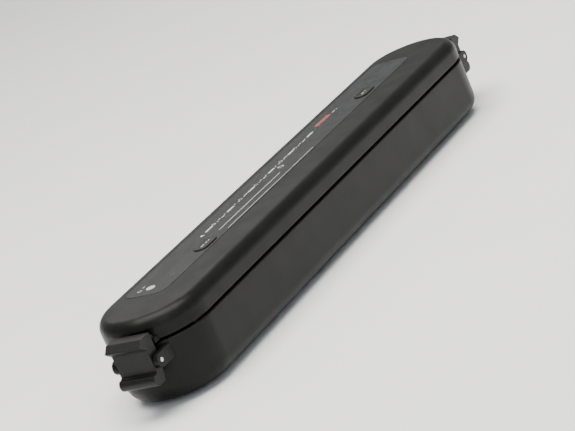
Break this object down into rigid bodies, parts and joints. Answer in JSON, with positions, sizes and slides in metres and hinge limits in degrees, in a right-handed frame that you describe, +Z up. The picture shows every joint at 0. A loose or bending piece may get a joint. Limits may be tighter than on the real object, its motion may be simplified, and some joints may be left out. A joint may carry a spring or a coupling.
{
  "type": "vacuum bag sealer",
  "caption": "Bar-shaped countertop bag sealer with a rear-hinged lid, two end latches, push buttons, a vacuum trough and a heater strip.",
  "frame": {"origin": "centre of the footprint, on the surface that the feet stand on", "axes": "+X along the bar to the user's right, -Y towards the user, +Z up"},
  "size_m": [0.36, 0.054, 0.044],
  "materials": {
    "housing_abs": "glossy moulded black ABS",
    "cover_abs": "fine-textured black ABS",
    "deck_abs": "satin dark grey ABS",
    "foam": "closed-cell foam",
    "phenolic_board": "glass-filled board",
    "nichrome": "rolled resistance strip",
    "glass_tape": "PTFE-coated glass cloth",
    "circuit_board": "solder mask",
    "transformer_tape": "polyester tape",
    "capacitor_sleeve": "shrink sleeve",
    "inlet_nylon": "moulded nylon",
    "nickel_plate": "nickel plate",
    "motor_steel": "zinc-plated steel",
    "pump_nylon": "natural nylon",
    "silicone_hose": "silicone",
    "valve_steel": "zinc-plated steel",
    "switch_nylon": "moulded nylon",
    "switch_phenolic": "moulded phenolic",
    "wire_silicone": "silicone insulation",
    "pin_steel": "ground steel",
    "spring_steel": "spring wire",
    "screw_steel": "black zinc",
    "foot_rubber": "moulded rubber",
    "silicone_press": "silicone",
    "panel_gloss": "gloss black overlay",
    "switch_metal": "stamped steel",
    "clear_acrylic": "diffuse acrylic",
    "red_acrylic": "tinted acrylic",
    "ribbon_cable": "flat cable",
    "button_abs": "glossy moulded ABS",
    "latch_abs": "glossy moulded ABS"
  },
  "bodies": {
    "base": {"base_shell": "housing_abs", "bottom_cover": "cover_abs", "sealing_deck": "deck_abs", "lower_gasket": "foam", "heater_bar": "phenolic_board", "heater_element": "nichrome", "heater_tape": "glass_tape", "power_board": "circuit_board", "transformer": "transformer_tape", "capacitor": "capacitor_sleeve", "mains_inlet": "inlet_nylon", "inlet_contacts": "nickel_plate", "pump_motor": "motor_steel", "pump_head": "pump_nylon", "air_hose": "silicone_hose", "suction_nozzle": "deck_abs", "release_valve": "valve_steel", "vacuum_switch": "switch_nylon", "lid_switch": "switch_phenolic", "heater_leads": "wire_silicone", "hinge_pins": "pin_steel", "latch_pins": "pin_steel", "latch_springs": "spring_steel", "bottom_screws": "screw_steel", "rubber_feet": "foot_rubber", "lid_harness": "ribbon_cable"},
    "lid": {"lid_shell": "housing_abs", "lid_plate": "deck_abs", "upper_gasket": "foam", "press_bar": "silicone_press", "control_panel": "panel_gloss", "control_board": "circuit_board", "button_switches": "switch_metal", "light_guides": "clear_acrylic", "red_lens_window": "red_acrylic", "status_lens_window": "clear_acrylic", "lid_screws": "screw_steel"},
    "vacuum_button": {"vacuum_button": "button_abs"},
    "seal_button": {"seal_button": "button_abs"},
    "latch_left": {"latch_left": "latch_abs"},
    "latch_right": {"latch_right": "latch_abs"}
  },
  "joints": [
    {"name": "lid_hinge", "type": "hinge", "parent": "base", "child": "lid", "pos_m": [0, 0.0215, 0.0316], "axis": [-1, 0, 0], "range_deg": [0, 75], "deforming": ["lid_harness"]},
    {"name": "vacuum_button_press", "type": "slide", "parent": "lid", "child": "vacuum_button", "axis": [0, 0, -1], "range_m": [0, 0.0008], "stiffness_N_per_m": 600},
    {"name": "seal_button_press", "type": "slide", "parent": "lid", "child": "seal_button", "axis": [0, 0, -1], "range_m": [0, 0.0008], "stiffness_N_per_m": 600},
    {"name": "latch_left_pivot", "type": "hinge", "parent": "base", "child": "latch_left", "pos_m": [-0.1728, -0.004, 0.026], "axis": [0, -1, 0], "range_deg": [0, 12], "stiffness_Nm_per_rad": 0.05},
    {"name": "latch_right_pivot", "type": "hinge", "parent": "base", "child": "latch_right", "pos_m": [0.1728, -0.004, 0.026], "axis": [0, 1, 0], "range_deg": [0, 12], "stiffness_Nm_per_rad": 0.05}
  ]
}
